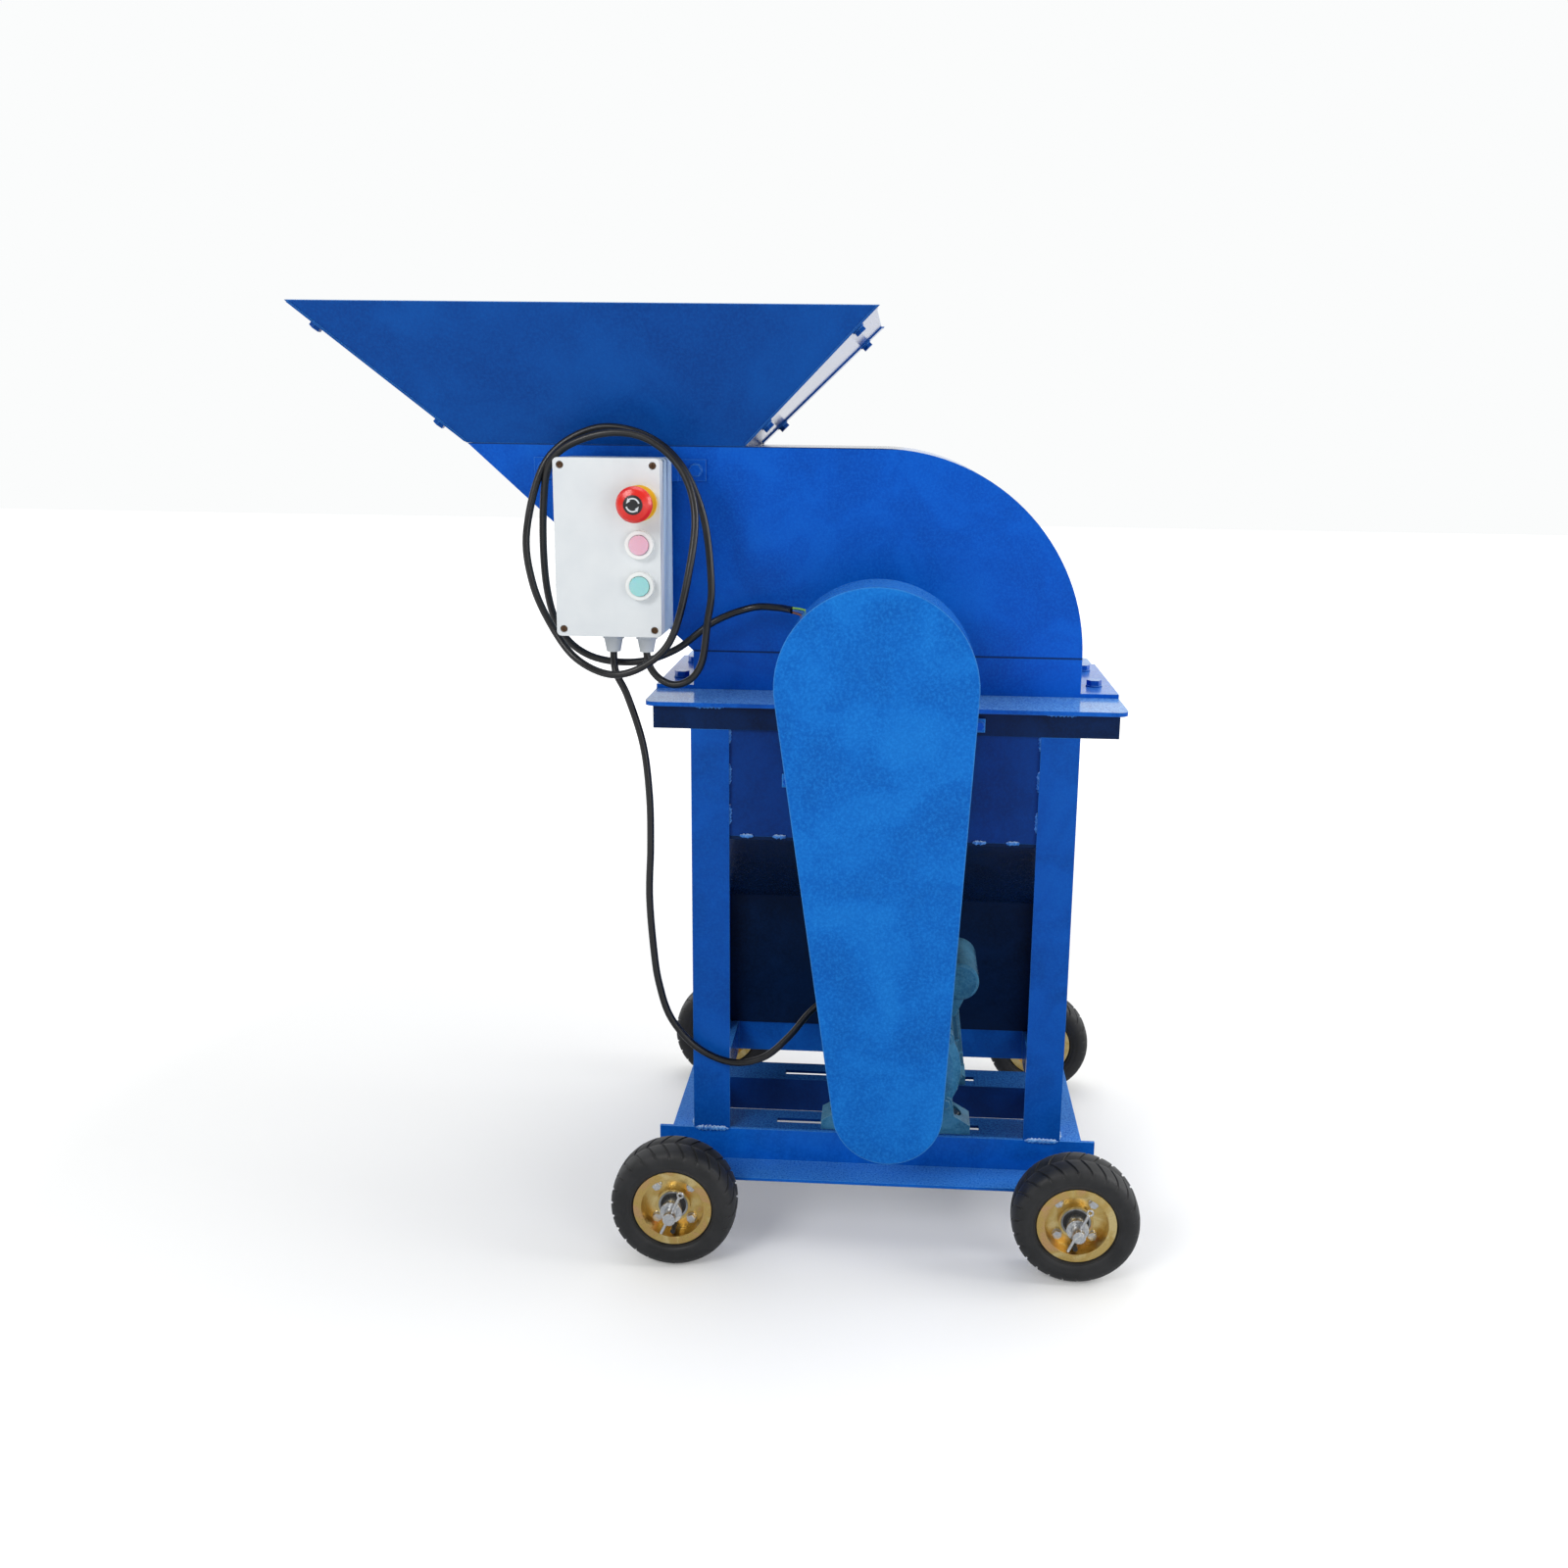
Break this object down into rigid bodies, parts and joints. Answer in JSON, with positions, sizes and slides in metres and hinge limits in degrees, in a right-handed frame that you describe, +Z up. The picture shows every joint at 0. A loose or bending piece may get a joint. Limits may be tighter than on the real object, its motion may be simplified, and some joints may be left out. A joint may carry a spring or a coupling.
{
  "type": "hammer mill",
  "caption": "Wheeled hammer mill: flared hopper over a rounded housing with a swinging-hammer rotor, belt-driven by a motor in an angle-iron stand, with a switch box.",
  "frame": {"origin": "on the floor, midway along the whole machine and midway between its wheels", "axes": "+Z up; +X along the machine, away from the throat; +Y from the belt side to the discharge side"},
  "size_m": [0.994, 0.54, 1.114],
  "materials": {
    "blue_paint": "mottled gloss enamel sprayed on mild steel",
    "frame_paint": "gloss enamel sprayed on rolled angle iron",
    "motor_paint": "satin machine enamel on cast aluminium",
    "bare_steel": "turned or sheared bare steel",
    "zinc_plate": "bright zinc-plated",
    "gold_zinc": "yellow-passivated zinc plate",
    "cast_iron": "machined grey iron",
    "tyre_rubber": "moulded black rubber",
    "lead_rubber": "smooth black rubber sheath",
    "belt_rubber": "moulded V-belt",
    "box_plastic": "fine-textured moulded ABS",
    "gland_plastic": "moulded nylon",
    "collar_plastic": "moulded white bezel",
    "stem_plastic": "moulded",
    "stop_red": "glossy moulded red",
    "button_pink": "translucent moulded pink lens",
    "button_teal": "translucent moulded teal lens"
  },
  "bodies": {
    "root": {"base_rails": "frame_paint", "legs": "blue_paint", "top_frame": "frame_paint", "top_plate": "blue_paint", "motor_rails": "frame_paint", "axles": "zinc_plate", "axle_retainers": "zinc_plate", "discharge_skirt": "frame_paint", "discharge_chute": "frame_paint", "lower_housing": "blue_paint", "upper_housing": "blue_paint", "screen": "bare_steel", "hopper_front_plate": "blue_paint", "hopper_rear_plate": "blue_paint", "hopper_left_plate": "blue_paint", "hopper_right_plate": "blue_paint", "belt_guard": "blue_paint", "drive_belts": "belt_rubber", "pillow_blocks": "frame_paint", "bearing_inserts": "bare_steel", "motor_body": "motor_paint", "motor_end_shields": "motor_paint", "motor_fan_cowl": "motor_paint", "motor_capacitor": "motor_paint", "motor_terminal_box": "motor_paint", "motor_bolts": "zinc_plate", "housing_bolts": "blue_paint", "hopper_bolts": "blue_paint", "small_bolts": "blue_paint", "box_base": "box_plastic", "box_lid": "box_plastic", "box_screws": "zinc_plate", "box_strap": "blue_paint", "cable_glands": "gland_plastic", "switch_collars": "collar_plastic", "supply_lead": "lead_rubber", "motor_lead": "lead_rubber"},
    "rotor": {"rotor_shaft": "bare_steel", "rotor_discs": "bare_steel", "hammer_pins": "bare_steel", "rotor_pulley": "cast_iron"},
    "hammers_1": {"hammer_row_1": "bare_steel"},
    "hammers_2": {"hammer_row_2": "bare_steel"},
    "hammers_3": {"hammer_row_3": "bare_steel"},
    "hammers_4": {"hammer_row_4": "bare_steel"},
    "motor_rotor": {"motor_shaft": "bare_steel", "motor_pulley": "cast_iron"},
    "stop_stem": {"emergency_stop_stem": "stem_plastic"},
    "stop_head": {"emergency_stop_head": "stop_red"},
    "stop_push": {"stop_button": "button_pink"},
    "start_push": {"start_button": "button_teal"},
    "front_left_wheel": {"front_left_tyre": "tyre_rubber", "front_left_rim": "gold_zinc"},
    "front_right_wheel": {"front_right_tyre": "tyre_rubber", "front_right_rim": "gold_zinc"},
    "rear_left_wheel": {"rear_left_tyre": "tyre_rubber", "rear_left_rim": "gold_zinc"},
    "rear_right_wheel": {"rear_right_tyre": "tyre_rubber", "rear_right_rim": "gold_zinc"}
  },
  "joints": [
    {"name": "rotor_spin", "type": "hinge", "parent": "root", "child": "rotor", "pos_m": [0.175, 0, 0.7045], "axis": [0, -1, 0], "continuous": true},
    {"name": "motor_spin", "type": "hinge", "parent": "root", "child": "motor_rotor", "pos_m": [0.209, 0, 0.2175], "axis": [0, -1, 0], "continuous": true},
    {"name": "hammers_1_swing", "type": "hinge", "parent": "rotor", "child": "hammers_1", "pos_m": [0.24218, 0.0225, 0.77167], "axis": [0, -1, 0], "range_deg": [-5, 275]},
    {"name": "hammers_2_swing", "type": "hinge", "parent": "rotor", "child": "hammers_2", "pos_m": [0.10783, 0.0225, 0.77167], "axis": [0, -1, 0], "range_deg": [-275, 5]},
    {"name": "hammers_3_swing", "type": "hinge", "parent": "rotor", "child": "hammers_3", "pos_m": [0.10783, 0.0225, 0.63733], "axis": [0, -1, 0], "range_deg": [-185, 95]},
    {"name": "hammers_4_swing", "type": "hinge", "parent": "rotor", "child": "hammers_4", "pos_m": [0.24218, 0.0225, 0.63733], "axis": [0, -1, 0], "range_deg": [-95, 185]},
    {"name": "front_left_roll", "type": "hinge", "parent": "root", "child": "front_left_wheel", "pos_m": [-0.052, -0.2275, 0.075], "axis": [0, 1, 0], "continuous": true},
    {"name": "front_right_roll", "type": "hinge", "parent": "root", "child": "front_right_wheel", "pos_m": [0.422, -0.2275, 0.075], "axis": [0, 1, 0], "continuous": true},
    {"name": "rear_left_roll", "type": "hinge", "parent": "root", "child": "rear_left_wheel", "pos_m": [-0.052, 0.2275, 0.075], "axis": [0, 1, 0], "continuous": true},
    {"name": "rear_right_roll", "type": "hinge", "parent": "root", "child": "rear_right_wheel", "pos_m": [0.422, 0.2275, 0.075], "axis": [0, 1, 0], "continuous": true},
    {"name": "emergency_press", "type": "slide", "parent": "root", "child": "stop_stem", "axis": [0, 1, 0], "range_m": [0, 0.005]},
    {"name": "emergency_twist", "type": "hinge", "parent": "stop_stem", "child": "stop_head", "pos_m": [-0.092, -0.2, 0.896], "axis": [0, 1, 0], "range_deg": [0, 30], "stiffness_Nm_per_rad": 0.02},
    {"name": "stop_press", "type": "slide", "parent": "root", "child": "stop_push", "axis": [0, 1, 0], "range_m": [0, 0.003], "stiffness_N_per_m": 300},
    {"name": "start_press", "type": "slide", "parent": "root", "child": "start_push", "axis": [0, 1, 0], "range_m": [0, 0.003], "stiffness_N_per_m": 300}
  ],
  "couplings": [
    {"joint": "motor_spin", "follows": "rotor_spin", "ratio": 2}
  ]
}
